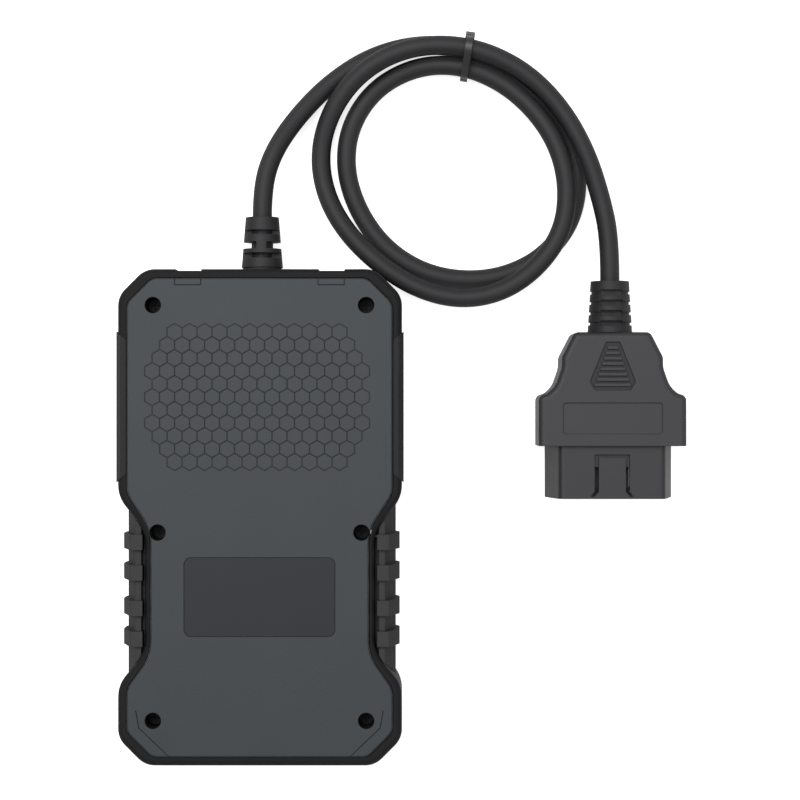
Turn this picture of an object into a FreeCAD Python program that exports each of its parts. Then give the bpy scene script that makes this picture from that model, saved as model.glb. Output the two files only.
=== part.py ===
import FreeCAD, Part
import math
import os
import re
import Sketcher

# OBD code reader: handheld scan tool with a tied cable and a 16-pin vehicle plug.
# Millimetres. The tool lies on its front, so its back faces +Z and its cable end faces +Y.
# The origin is at the middle of the tool's footprint, on the surface that it lies on.

SIZES = {
    # outline of the case and its rubber bumper
    "half_width": (42.5, "bumper, half the width across the head and the foot"),
    "half_length": (74.3, "bumper, half the length"),
    "corner_cut": (8.1, "45 degree cut at each corner of the bumper"),
    "cover_cut": (9.15, "the same for the covers, measured at the bumper's outline"),
    "corner_round": (7.0, "rounding at both ends of each corner cut"),
    "waist_half": (34.4, "bumper, half the width across the waist"),
    "waist_head": (6.2, "height at which the head starts to narrow"),
    "waist_top": (-4.25, "height at which the waist is reached"),
    "waist_bottom": (-40.7, "height at which the waist ends"),
    "waist_foot": (-50.0, "height at which the foot is at full width"),
    "bulge_round": (10.0, "outward rounding of the waist curve"),
    "hollow_round": (12.0, "inward rounding of the waist curve"),
    # levels, from the surface upwards
    "rim_top": (25.2, "bumper, back face"),
    "back_face": (26.0, "rear cover, outer face"),
    "back_inside": (23.8, "rear cover, inner face"),
    "front_face": (1.6, "front cover, outer face"),
    "front_inside": (3.6, "front cover, inner face"),
    "web_low": (11.0, "bumper web, lower face, where the front cover ends"),
    "web_high": (14.0, "bumper web, upper face, where the rear cover starts"),
    # walls, as insets from the bumper's outer outline
    "rim_inset": (2.6, "bumper, inner face of the rim"),
    "rim_inset_waist": (1.6, "the same in the waist"),
    "groove": (0.15, "gap between the rim and the covers"),
    "wall": (2.2, "wall of both covers"),
    "web_reach": (2.2, "how far the web reaches in from the rim"),
    "rim_round": (1.9, "rounding of the bumper's outer edges"),
    "cover_round": (0.7, "rounding of the rear cover's edge"),
    # screws that hold the covers together
    "screw_side": (10.7, "upper and lower pairs, in from the bumper's sides"),
    "screw_top": (10.9, "upper pair, in from the bumper's top end"),
    "screw_foot": (13.7, "lower pair, in from the bumper's lower end"),
    "screw_waist": (4.0, "middle pair, in from the bumper's waist"),
    "screw_waist_y": (-4.45, "middle pair"),
    "well_gap": (0.25, "recessed hole over a screw head, clearance round it"),
    "shoulder": (16.0, "level of the seat under a screw head"),
    "boss_wall": (1.4, "wall of the post around a screw head"),
    "neck_wall": (1.25, "wall of the post where it passes the bumper web"),
    "shank_gap": (0.3, "hole for a screw's shank, clearance round it"),
    "shank_radius": (1.25, "screw shank"),
    "screw_tip": (5.6, "level of a screw's tip"),
    "head_radius": (2.2, "screw head"),
    "head_height": (2.0, "screw head"),
    # side trims and waist grips
    "trim_low": (10.5, "lower end of a side trim"),
    "trim_high": (55.6, "upper end of a side trim"),
    "trim_proud": (0.5, "how far a trim stands out of the bumper"),
    "trim_depth": (1.2, "how deep a trim is let into the bumper"),
    "trim_front": (2.6, "level of a trim's front edge"),
    "trim_slant": (2.5, "how much shorter a trim's inner edge is at each end"),
    "grip_outer": (40.6, "outer face of a grip"),
    "grip_gap": (0.05, "gap between a grip and the bumper"),
    "grip_top_gap": (1.2, "the same at the grip's ledge"),
    "grip_end_gap": (0.1, "gap between a grip's slanted ends and the bumper, along the tool"),
    "root_gap": (0.5, "gap between a grip's root and the waist's bends"),
    "grip_top": (23.2, "level of a grip's ledge"),
    "grip_front": (3.0, "level of a grip's front edge"),
    "grip_seat": (20.0, "level under which a grip touches the bumper"),
    "grip_ledge": (37.4, "outer end of a grip's flat ledge"),
    "grip_belly": (13.5, "level above which a grip's outer face leans in"),
    "rib_gap": (0.7, "gap between a rib and the bumper"),
    "rib_outer": (41.8, "outer face of a grip rib"),
    "rib_flat": (38.9, "outer end of a rib's flat top"),
    "rib_top": (24.6, "level of a rib's top"),
    "rib_width": (4.65, "rib, along the tool"),
    # rear cover details
    "label_wide": (45.2, "label recess"),
    "label_tall": (23.75, "label recess"),
    "label_y": (-23.7, "label recess, centre"),
    "label_round": (2.2, "label recess, corners"),
    "label_depth": (0.4, "label recess"),
    "label_thick": (0.25, "label"),
    "label_gap": (0.2, "label, clearance all round"),
    "line_wide": (0.25, "fine lines in the rear cover"),
    "line_deep": (0.4, "fine lines in the rear cover"),
    "catch_near": (17.5, "catch window, side nearest the middle"),
    "catch_far": (25.3, "catch window, side nearest the corner"),
    "catch_deep": (2.1, "catch window, along the tool"),
    "catch_dip": (0.65, "dip in the bumper beside a catch window"),
    "hex_pitch": (4.47, "hexagon pattern, pitch along a row"),
    "hex_row": (3.87, "hexagon pattern, pitch of the rows"),
    "hex_line": (0.3, "hexagon pattern, width of a line"),
    "hex_deep": (0.28, "hexagon pattern, depth of a line"),
    "hex_faint": (0.12, "hexagon pattern, depth at its edge"),
    "hex_first_y": (16.6, "hexagon pattern, lowest row"),
    "hex_middle_x": (-0.7, "hexagon pattern, middle of a row"),
    # display and keypad side
    "screen_y": (34.5, "middle of the display"),
    "lens_wide": (68.0, "lens recess"),
    "lens_tall": (48.0, "lens recess"),
    "lens_round": (3.0, "lens recess, corners"),
    "lens_depth": (1.0, "lens recess"),
    "lens_gap": (0.2, "lens, clearance all round"),
    "window_wide": (62.0, "window behind the lens"),
    "window_tall": (42.0, "window behind the lens"),
    "gasket_thick": (0.8, "display gasket"),
    "module_wide": (71.0, "display module"),
    "module_tall": (50.0, "display module"),
    "board_low": (8.4, "main board, front face"),
    "board_thick": (1.6, "both boards"),
    "board_inset": (8.4, "main board below the display, in from the bumper's waist"),
    "board_foot": (-66.0, "main board, lower end"),
    "post_inset": (11.9, "board posts, in from the bumper's waist"),
    "post_high_y": (4.6, "upper board posts"),
    "post_low_y": (-62.8, "lower board posts"),
    "post_radius": (2.6, "board post"),
    "key_gap": (0.3, "clearance between a key and its hole"),
    "key_face": (1.25, "level of the key tops"),
    "key_flange": (1.2, "how far a key's flange reaches out"),
    "key_flange_thick": (0.8, "key flange"),
    "key_stem": (2.0, "key stem, radius"),
    "key_stem_end": (6.3, "level of a key stem's end"),
    "switch_front": (7.4, "level of a dome switch's top"),
    "guide_half": (24.5, "key guide, half its width"),
    "guide_gap": (0.3, "gap between the key guide and a screw boss beside it"),
    "guide_low_y": (-58.0, "key guide, lower end"),
    "guide_high_y": (0.5, "key guide, upper end"),
    "guide_wall": (1.2, "key guide, outer wall"),
    "guide_plate_low": (5.6, "key guide, plate"),
    "guide_plate_high": (6.6, "key guide, plate"),
    "light_y": (4.6, "row of status lights"),
    "light_pitch": (8.0, "row of status lights"),
    "light_radius": (1.2, "light pipe"),
    "light_flange": (2.2, "light pipe, flange radius"),
    "second_low": (16.5, "vehicle interface board, lower face"),
    # cable exit and cable
    "axis_z": (12.5, "axis of the cable exit"),
    "cable_radius": (2.95, "cable"),
    "exit_half": (4.5, "square neck of the strain relief, half its side"),
    "flange_half": (6.5, "flange inside the case, half its side"),
    "flange_thick": (2.0, "flange inside the case"),
    "relief_base": (6.35, "strain relief radius at the case"),
    "relief_tip": (5.05, "strain relief radius at the cable"),
    "relief_long": (16.3, "strain relief outside the case"),
    "tie_wide": (2.2, "cable tie"),
    "tie_gap": (0.2, "tie to the strands"),
    "tie_thick": (0.9, "cable tie"),
    "tie_x": (62.4, "cable tie, middle"),
    "tie_y": (140.0, "cable tie, middle"),
    "tie_tilt": (8.5, "cable tie, degrees away from the tool's length"),
    # plug
    "plug_x": (106.0, "axis of the plug"),
    "plug_z": (10.0, "axis of the plug"),
    "plug_tip": (71.3, "end of the plug's strain relief"),
    "plug_top": (55.6, "top of the plug's housing"),
    "plug_step": (36.3, "top of the housing's flange"),
    "plug_mouth": (21.2, "mouth of the housing"),
    "plug_nose": (5.2, "open end of the connector shell"),
    "plug_neck_half": (11.4, "housing, half the width at its top"),
    "plug_body_half": (15.3, "housing, half the width of its body"),
    "plug_flange_half": (22.3, "housing, half the width of its flange"),
    "plug_thick": (20.0, "housing"),
    "plug_round": (1.8, "housing, rounded edges"),
    "shell_wide": (40.0, "connector shell, wide side"),
    "shell_narrow": (31.8, "connector shell, narrow side"),
    "shell_tall": (16.3, "connector shell"),
    "shell_wall": (1.3, "connector shell"),
    "shell_round": (1.8, "connector shell, corners"),
    "shell_seat": (6.0, "how far the shell's root sits in the housing"),
    "root_half": (16.0, "root of the shell, half the width"),
    "root_tall": (13.0, "root of the shell"),
    "carrier_long": (5.0, "pin carrier"),
    "bar_half": (15.8, "bar between the pin rows, half the width"),
    "bar_thick": (2.2, "bar between the pin rows"),
    "bar_end": (8.2, "outer end of the bar between the pin rows"),
    "pin_pitch": (4.0, "contact pins, along a row"),
    "pin_rows": (8.4, "contact pins, between the rows"),
    "pin_wide": (1.6, "contact pin"),
    "pin_thick": (0.8, "contact pin"),
    "pin_end": (8.8, "outer end of the pins"),
    "pin_root": (29.2, "inner end of the pins"),
    "mould_half": (15.4, "inner mould behind the pins, half the width"),
    "mould_top": (34.0, "inner mould, end towards the cable"),
}

# Route of the cable's centreline, chosen by hand: out of the tool, twice round the tied loop, to the plug.
CABLE_ROUTE = [
    (0, 90.6, 12.5), (0, 99.6, 12.5), (2.9, 110.2, 11.0), (9.8, 121.4, 7.2), (20.0, 132.6, 3.9),
    (32.6, 141.0, 3.1), (46.8, 144.8, 3.7), (61.6, 143.9, 4.6), (75.0, 138.9, 3.7), (86.2, 129.8, 3.1),
    (94.0, 117.4, 3.1), (97.2, 103.4, 3.1), (94.8, 89.9, 3.1), (86.4, 79.3, 3.1), (74.4, 73.2, 3.1),
    (61.2, 71.8, 3.1), (48.3, 74.6, 3.1), (37.0, 82.0, 3.1), (28.9, 93.2, 3.1), (24.8, 106.4, 3.1),
    (26.3, 119.6, 3.1), (34.0, 131.2, 3.4), (46.4, 137.7, 5.0), (59.8, 138.2, 6.7), (72.8, 133.2, 6.6),
    (83.4, 124.0, 7.7), (90.6, 112.4, 9.4), (93.4, 99.4, 9.5), (91.6, 86.3, 9.5), (83.6, 75.1, 9.2),
    (72.6, 67.8, 8.6), (59.6, 65.8, 8.2), (46.6, 69.4, 8.0), (35.0, 77.0, 7.8), (25.0, 87.0, 6.7),
    (18.6, 99.0, 4.8), (17.0, 112.0, 4.6), (21.0, 124.6, 7.4), (29.4, 135.2, 9.6), (41.6, 142.0, 10.9),
    (55.2, 143.8, 11.5), (69.0, 141.2, 11.4), (81.7, 134.3, 10.4), (91.8, 123.6, 9.6), (98.8, 111.0, 9.4),
    (103.2, 97.8, 8.9), (106.0, 84.4, 10.0), (106.0, 71.3, 10.0),
]

# Each key: node name, middle (x, y), size (x, y), corner radius.
# Left and right are as the user sees them from the front, so they swap sides in this view of the back.
KEYS = [
    ("key_up", 0, -10.5, 15, 8.4, 2.5),
    ("key_down", 0, -37.5, 15, 8.4, 2.5),
    ("key_left", 14, -24, 8.4, 15, 2.5),
    ("key_right", -14, -24, 8.4, 15, 2.5),
    ("key_ok", 0, -24, 12, 12, 5.9),
    ("key_back", 14, -50, 15, 7.6, 3.4),
    ("key_menu", -14, -50, 15, 7.6, 3.4),
]

# Middles of the grip ribs along the tool.
RIB_PLACES = [-7.45, -16.6, -27.2, -36.4]

# Chips on the main board's back and on the interface board: middle (x, y), size (x, y, z).
MAIN_CHIPS = [
    (6, -16, 18, 18, 1.6),
    (-14, -14, 10, 8, 1.2),
    (-13, -28, 9, 12, 1.4),
    (12, -36, 12, 8, 1.4),
    (14, -52, 8, 8, 2.6),
]
INTERFACE_CHIPS = [
    (-10, 28, 14, 14, 1.6),
    (10, 30, 10, 8, 1.5),
    (10, 18, 6, 5, 1.3),
    (-12, 14, 8, 5, 1.3),
    (14, 42, 7, 7, 3.0),
    (-4, 42, 7, 7, 3.0),
]

# Bent line in each foot corner of the rear cover.
FOOT_LINE = [
    ("(half_width - 5.6)", "16.7 - half_length"),
    ("(half_width - 6.5)", "11.6 - half_length"),
    ("(half_width - 15.5)", "3 - half_length"),
]

CASE_SCREWS = [
    (side + x, y)
    for x, y in (
        ("(half_width - screw_side)", "half_length - screw_top"),
        ("(waist_half - screw_waist)", "screw_waist_y"),
        ("(half_width - screw_side)", "screw_foot - half_length"),
    )
    for side in ("", "-")
]
BOARD_POSTS = [
    (side + "(waist_half - post_inset)", place)
    for place in ("post_high_y", "post_low_y")
    for side in ("", "-")
]
SPACER_PLACES = [(-20, 12), (20, 12), (-20, 46), (20, 46)]

doc = FreeCAD.newDocument("obd_code_reader")
sheet = doc.addObject("Spreadsheet::Sheet", "sizes")
for row, (name, (value, note)) in enumerate(SIZES.items(), start=1):
    sheet.set("A%d" % row, name)
    sheet.set("B%d" % row, str(value))
    sheet.set("C%d" % row, note)
    sheet.setAlias("B%d" % row, name)
doc.recompute()

NODES = []


def linked(text):
    """The same expression with every size name pointing at the spreadsheet."""
    def swap(match):
        word = match.group()
        return "sizes." + word if word in SIZES else word
    return re.sub(r"[a-z_]+", swap, str(text))


def number(text):
    """Value of an expression in millimetres."""
    return float(sheet.evalExpression(linked(text)))


def bind(thing, prop, text, unit=" * 1 mm"):
    thing.setExpression(prop, "(" + linked(text) + ")" + unit)


def bind_place(thing, place):
    for letter, text in zip("xyz", place):
        bind(thing, "Placement.Base." + letter, text)


def box(name, low, high):
    """Block between two corners."""
    thing = doc.addObject("Part::Box", name)
    for prop, start, end in zip(("Length", "Width", "Height"), low, high):
        bind(thing, prop, "(%s) - (%s)" % (end, start))
    bind_place(thing, low)
    return thing


TURNS = {
    "z": FreeCAD.Rotation(),
    "x": FreeCAD.Rotation(FreeCAD.Vector(0, 1, 0), 90),
    "y": FreeCAD.Rotation(FreeCAD.Vector(1, 0, 0), -90),
}


def rod(name, base, radius, length, axis="z"):
    """Cylinder from its base point along a positive axis."""
    thing = doc.addObject("Part::Cylinder", name)
    thing.Placement.Rotation = TURNS[axis]
    bind(thing, "Radius", radius)
    bind(thing, "Height", length)
    bind_place(thing, base)
    return thing


def taper(name, base, radius_low, radius_high, length, axis="z"):
    """Cone frustum from its base point along a positive axis."""
    thing = doc.addObject("Part::Cone", name)
    thing.Placement.Rotation = TURNS[axis]
    bind(thing, "Radius1", radius_low)
    bind(thing, "Radius2", radius_high)
    bind(thing, "Height", length)
    bind_place(thing, base)
    return thing


def fuse(name, shapes):
    thing = doc.addObject("Part::MultiFuse", name)
    thing.Shapes = shapes
    thing.Refine = True
    return thing


def cut(name, base, tools):
    """Base without the tools."""
    thing = doc.addObject("Part::Cut", name)
    thing.Base = base
    thing.Tool = tools[0] if len(tools) == 1 else fuse(name + "_tools", tools)
    thing.Refine = True
    return thing


def common(name, first, second):
    """What two shapes share."""
    thing = doc.addObject("Part::Common", name)
    thing.Base = first
    thing.Tool = second
    return thing


def together(name, shapes):
    """Several separate solids in one node."""
    thing = doc.addObject("Part::Compound", name)
    thing.Links = shapes
    return thing


def mirrored(name, source):
    """Copy on the other side of the tool's middle plane."""
    thing = doc.addObject("Part::Mirroring", name)
    thing.Source = source
    thing.Normal = FreeCAD.Vector(1, 0, 0)
    return thing


def node(label, thing):
    """Marks a finished sub-part."""
    thing.Label = label
    NODES.append(thing)
    return thing


PLANES = {"xy": "XY_Plane", "xz": "XZ_Plane", "yz": "YZ_Plane"}


def new_sketch(body, name, plane, level):
    sketch = body.newObject("Sketcher::SketchObject", name)
    origin = [item for item in body.Origin.OriginFeatures if item.Role == PLANES[plane]][0]
    sketch.AttachmentSupport = [(origin, "")]
    sketch.MapMode = "FlatFace"
    bind(sketch, "AttachmentOffset.Base.z", level)
    return sketch


def polygon(sketch, corners, radii=None):
    """Closed outline of straight sides; corner i is rounded by radii[i] where that is given.

    Each corner is a construction point placed by the spreadsheet, and the sides and arcs hang on it.
    """
    count = len(corners)
    radii = radii or [None] * count
    points = [FreeCAD.Vector(number(x), number(y), 0) for x, y in corners]
    steps = [(points[(i + 1) % count] - points[i]).normalize() for i in range(count)]
    sizes = [0.0 if radii[i] is None else number(radii[i]) for i in range(count)]
    turns = [steps[i - 1].getAngle(steps[i]) for i in range(count)]
    reach = [sizes[i] * math.tan(turns[i] / 2) for i in range(count)]
    starts = [points[i] + steps[i] * reach[i] for i in range(count)]
    ends = [points[i] - steps[i - 1] * reach[i] for i in range(count)]

    marks = []
    for i, (x, y) in enumerate(corners):
        mark = sketch.addGeometry(Part.Point(points[i]), True)
        marks.append(mark)
        for kind, text in (("DistanceX", x), ("DistanceY", y)):
            value = points[i].x if kind == "DistanceX" else points[i].y
            bound = sketch.addConstraint(Sketcher.Constraint(kind, -1, 1, mark, 1, value))
            bind(sketch, "Constraints[%d]" % bound, text)

    sides = []
    for i in range(count):
        sides.append(sketch.addGeometry(Part.LineSegment(starts[i], ends[(i + 1) % count])))
    for i in range(count):
        before, after = sides[i - 1], sides[i]
        if radii[i] is None:
            sketch.addConstraint(Sketcher.Constraint("Coincident", before, 2, marks[i], 1))
            sketch.addConstraint(Sketcher.Constraint("Coincident", after, 1, marks[i], 1))
            continue
        left_turn = steps[i - 1].cross(steps[i]).z > 0
        aside = FreeCAD.Vector(-steps[i - 1].y, steps[i - 1].x, 0) * (1 if left_turn else -1)
        centre = ends[i] + aside * sizes[i]
        first, last = (ends[i], starts[i]) if left_turn else (starts[i], ends[i])
        angles = [math.atan2(p.y - centre.y, p.x - centre.x) for p in (first, last)]
        circle = Part.Circle(centre, FreeCAD.Vector(0, 0, 1), sizes[i])
        arc = sketch.addGeometry(Part.ArcOfCircle(circle, angles[0], angles[1]))
        near, far = (1, 2) if left_turn else (2, 1)
        sketch.addConstraint(Sketcher.Constraint("Tangent", before, 2, arc, near))
        sketch.addConstraint(Sketcher.Constraint("Tangent", after, 1, arc, far))
        sketch.addConstraint(Sketcher.Constraint("PointOnObject", marks[i], 1, before))
        sketch.addConstraint(Sketcher.Constraint("PointOnObject", marks[i], 1, after))
        bound = sketch.addConstraint(Sketcher.Constraint("Radius", arc, sizes[i]))
        bind(sketch, "Constraints[%d]" % bound, radii[i])


def prism(name, corners, low, high, radii=None, plane="xy"):
    """Body with one outline pulled straight from the low level to the high one."""
    body = doc.addObject("PartDesign::Body", name)
    # an xz sketch faces -Y, so its levels are counted backwards
    start = "-(%s)" % high if plane == "xz" else low
    sketch = new_sketch(body, name + "_outline", plane, start)
    polygon(sketch, corners, radii)
    pad = body.newObject("PartDesign::Pad", name + "_pad")
    pad.Profile = sketch
    bind(pad, "Length", "(%s) - (%s)" % (high, low))
    doc.recompute()
    return body


def rectangle(middle_x, middle_y, wide, tall):
    left, right = ("%s - (%s) / 2" % (middle_x, wide), "%s + (%s) / 2" % (middle_x, wide))
    low, high = ("%s - (%s) / 2" % (middle_y, tall), "%s + (%s) / 2" % (middle_y, tall))
    return [(left, low), (right, low), (right, high), (left, high)]


def soften(body, radius, wanted, kind="Fillet"):
    """Rounds or bevels the edges of a body's tip that the test picks out."""
    tip = body.Tip
    names = ["Edge%d" % i for i, edge in enumerate(tip.Shape.Edges, start=1) if wanted(edge)]
    feature = body.newObject("PartDesign::" + kind, body.Name + "_" + kind.lower())
    feature.Base = (tip, names)
    bind(feature, "Radius" if kind == "Fillet" else "Size", radius)
    doc.recompute()
    return body


def at_level(edge, level):
    return all(abs(vertex.Z - level) < 1e-4 for vertex in edge.Vertexes)


# Tangent of half the turn at each end of the waist.
TOP_LEAN = "tan(atan((half_width - waist_half) / (waist_head - waist_top)) / 2)"
FOOT_LEAN = "tan(atan((half_width - waist_half) / (waist_bottom - waist_foot)) / 2)"


def case_outline(inset, inset_waist=None):
    """Outline of the case, moved inwards; counter-clockwise from the foot's right side."""
    waist_inset = inset_waist or inset
    corner_cut = "cover_cut" if inset_waist else "corner_cut"
    cut_shift = "(%s) * (sqrt(2) - 1)" % inset
    side = "half_width - (%s)" % inset
    waist = "waist_half - (%s)" % waist_inset
    end = "half_length - (%s)" % inset
    cut_x = "half_width - %s - %s" % (corner_cut, cut_shift)
    cut_y = "half_length - %s - %s" % (corner_cut, cut_shift)
    right = [
        (cut_x, "-(%s)" % end),
        (side, "-(%s)" % cut_y),
        (side, "waist_foot - (%s) * %s" % (inset, FOOT_LEAN)),
        (waist, "waist_bottom - (%s) * %s" % (waist_inset, FOOT_LEAN)),
        (waist, "waist_top + (%s) * %s" % (waist_inset, TOP_LEAN)),
        (side, "waist_head + (%s) * %s" % (inset, TOP_LEAN)),
        (side, cut_y),
        (cut_x, end),
    ]
    left = [("-(%s)" % x, y) for x, y in reversed(right)]
    corner = "max(corner_round - (%s); 0.8)" % inset
    bulge = "max(bulge_round - (%s); 0.8)" % inset
    hollow = "hollow_round + (%s)" % waist_inset
    half = [corner, corner, bulge, hollow, hollow, bulge, corner, corner]
    return right + left, half + half


def case_plate(name, inset, low, high, inset_waist=None):
    corners, radii = case_outline(inset, inset_waist)
    return prism(name, corners, low, high, radii)


COVER_INSET = "rim_inset + groove"
COVER_WAIST = "rim_inset_waist + groove"
HOLLOW_INSET = "rim_inset + groove + wall"
HOLLOW_WAIST = "rim_inset_waist + groove + wall"


def exit_hole(name, low_y, high_y):
    """Square hole for the strain relief's neck."""
    return box(
        name,
        ("-exit_half", low_y, "axis_z - exit_half"),
        ("exit_half", high_y, "axis_z + exit_half"),
    )


def make_bumper():
    outer = case_plate("bumper_outer", "0", "0", "rim_top")
    levels = (0.0, number("rim_top"))
    soften(outer, "rim_round", lambda e: at_level(e, levels[0]) or at_level(e, levels[1]))
    tools = [
        case_plate("bumper_back_well", "rim_inset", "web_high", "rim_top + 1", "rim_inset_waist"),
        case_plate("bumper_front_well", "rim_inset", "-1", "web_low", "rim_inset_waist"),
        case_plate("bumper_web_well", "rim_inset + web_reach", "web_low - 1", "web_high + 1",
                   "rim_inset_waist + web_reach"),
        exit_hole("bumper_exit", "half_length - rim_inset - web_reach - 1", "half_length + 1"),
    ]
    for index, (x, y) in enumerate(CASE_SCREWS):
        tools.append(rod("bumper_relief_%d" % index, (x, y, "web_low - 1"), "shank_radius + neck_wall + 0.3",
                         "web_high - web_low + 2"))
    dip = box("bumper_dip_right", ("catch_near", "half_length - catch_dip", "web_high + 1"),
              ("catch_far", "half_length + 1", "rim_top + 1"))
    tools += [dip, mirrored("bumper_dip_left", dip)]
    seat = common("trim_seat", trim_plan("trim_seat_plan", "2"), prism("trim_seat_side", [
        ("half_width - trim_depth", "trim_front"),
        ("half_width + 1", "trim_front"),
        ("half_width + 1", "rim_top + 1"),
        ("half_width - rim_inset - 1", "rim_top + 1"),
        ("half_width - rim_inset - 1", "rim_top - trim_depth"),
        ("half_width - trim_depth", "rim_top - trim_depth"),
    ], "trim_low - 1", "trim_high + 1", plane="xz"))
    tools += [seat, mirrored("trim_seat_left", seat)]
    node("bumper_frame", cut("bumper_frame", outer, tools))


def trim_plan(name, extra):
    """Side trim seen from the back: its ends slant, and it reaches a little past its own section."""
    inner, outer = "half_width - rim_inset", "half_width + trim_proud"
    slope = "trim_slant / (rim_inset + trim_proud)"
    corners = [
        ("%s - (%s)" % (inner, extra), "trim_low + trim_slant + (%s) * %s" % (extra, slope)),
        ("%s + (%s)" % (outer, extra), "trim_low - (%s) * %s" % (extra, slope)),
        ("%s + (%s)" % (outer, extra), "trim_high + (%s) * %s" % (extra, slope)),
        ("%s - (%s)" % (inner, extra), "trim_high - trim_slant - (%s) * %s" % (extra, slope)),
    ]
    return prism(name, corners, "0", "rim_top + 2")


def make_side_trims():
    side = prism("trim_side", [
        ("half_width - trim_depth", "trim_front"),
        ("half_width", "trim_front"),
        ("half_width + trim_proud", "trim_front + 1.2"),
        ("half_width + trim_proud", "rim_top - 1.6"),
        ("half_width - 1", "rim_top + 0.1"),
        ("half_width - rim_inset", "rim_top + 0.1"),
        ("half_width - rim_inset", "rim_top - trim_depth"),
        ("half_width - trim_depth", "rim_top - trim_depth"),
    ], "trim_low - 1", "trim_high + 1", plane="xz")
    trim = common("right_side_trim", trim_plan("trim_plan", "0.5"), side)
    node("right_side_trim", trim)
    node("left_side_trim", mirrored("left_side_trim", trim))


def make_grips():
    top_slope = "(waist_head - waist_top) / (half_width - waist_half)"
    foot_slope = "(waist_bottom - waist_foot) / (half_width - waist_half)"
    gap, top_gap = "waist_half + grip_gap", "waist_half + grip_top_gap"
    bend = "hollow_round - grip_gap"
    reach = "(rib_outer - waist_half)"
    corners = [
        (gap, "waist_bottom + grip_end_gap - grip_gap * " + foot_slope),
        ("rib_outer", "waist_bottom + grip_end_gap - %s * %s" % (reach, foot_slope)),
        ("rib_outer", "waist_top - grip_end_gap + %s * %s" % (reach, top_slope)),
        (gap, "waist_top - grip_end_gap + grip_gap * " + top_slope),
    ]
    plan = prism("grip_plan", corners, "grip_front", "rib_top + 1", [bend, None, None, bend])
    side = [
        (gap, "grip_front"),
        ("grip_ledge", "grip_front"),
        ("grip_outer", "grip_front + 4"),
        ("grip_outer", "grip_belly"),
        ("grip_ledge", "grip_top"),
        (top_gap, "grip_top"),
        (top_gap, "grip_seat"),
        (gap, "grip_seat"),
    ]
    upper = common("grip_body", plan, prism("grip_side", side, "waist_foot", "waist_head", plane="xz"))
    root = box("grip_root",
               ("waist_half", "waist_bottom + root_gap + hollow_round * " + FOOT_LEAN, "grip_front"),
               ("waist_half + grip_gap + 1", "waist_top - root_gap - hollow_round * " + TOP_LEAN,
                "grip_seat"))
    pieces = [upper, root]
    for index, place in enumerate(RIB_PLACES):
        profile = [
            ("waist_half + rib_gap", "grip_front + 1"),
            ("rib_outer - 1.4", "grip_front + 1"),
            ("rib_outer", "grip_front + 5"),
            ("rib_outer", "grip_belly + 1.5"),
            ("rib_flat", "rib_top - 0.3"),
            ("rib_flat - 0.4", "rib_top"),
            ("waist_half + rib_gap", "rib_top"),
        ]
        rib = prism("grip_rib_blank_%d" % index, profile, "%s - rib_width / 2" % place,
                    "%s + rib_width / 2" % place, plane="xz")
        pieces.append(common("grip_rib_%d" % index, plan, rib))
    grip = fuse("right_grip", pieces)
    node("right_grip", grip)
    node("left_grip", mirrored("left_grip", grip))


def hexagon(centre, radius):
    """Face with its corners up and down."""
    corners = []
    for step in range(7):
        angle = math.radians(60 * step + 30)
        corners.append(centre + FreeCAD.Vector(math.cos(angle), math.sin(angle), 0) * radius)
    return Part.Face(Part.makePolygon(corners))


def make_hex_lines():
    """Thin cutter for the honeycomb lines, deep in the middle and faint along the edge."""
    pitch, row = number("hex_pitch"), number("hex_row")
    line, deep, faint = number("hex_line"), number("hex_deep"), number("hex_faint")
    level = number("back_face")
    middle_x, first_y = number("hex_middle_x"), number("hex_first_y")
    rows, columns = 11, 15
    cells, inner_cells = [], []
    for index in range(rows):
        shorter = (index + 1) % 2
        count = columns - shorter - (2 if index < 2 or index > rows - 3 else 0)
        start = middle_x - pitch * (count - 1) / 2
        for place in range(count):
            centre = FreeCAD.Vector(start + pitch * place, first_y + row * index, level)
            edge = index in (0, rows - 1) or place in (0, count - 1)
            cells.append((centre, edge))
            if not edge:
                inner_cells.append(centre)
    outer_radius = (pitch + line) / math.sqrt(3)
    inner_radius = (pitch - line) / math.sqrt(3)

    def lines(centres, depth):
        field = Part.Face(hexagon(centres[0], outer_radius).OuterWire)
        field = field.multiFuse([hexagon(c, outer_radius) for c in centres[1:]]).removeSplitter()
        pattern = field.cut([hexagon(c, inner_radius) for c in centres])
        pattern.translate(FreeCAD.Vector(0, 0, -depth))
        return pattern.extrude(FreeCAD.Vector(0, 0, depth + 0.5))

    shape = lines([c for c, edge in cells], faint).fuse(lines(inner_cells, deep))
    thing = doc.addObject("Part::Feature", "hex_lines")
    thing.Shape = shape
    return thing


def strip(name, start, end, low, high):
    """Thin straight groove cutter between two points of the rear cover."""
    run = FreeCAD.Vector(*end, 0) - FreeCAD.Vector(*start, 0)
    aside = FreeCAD.Vector(-run.y, run.x, 0).normalize() * (number("line_wide") / 2)
    corners = []
    for point, sign in ((start, -1), (end, -1), (end, 1), (start, 1)):
        corners.append((point[0] + sign * aside.x, point[1] + sign * aside.y))
    return prism(name, corners, low, high)


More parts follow.
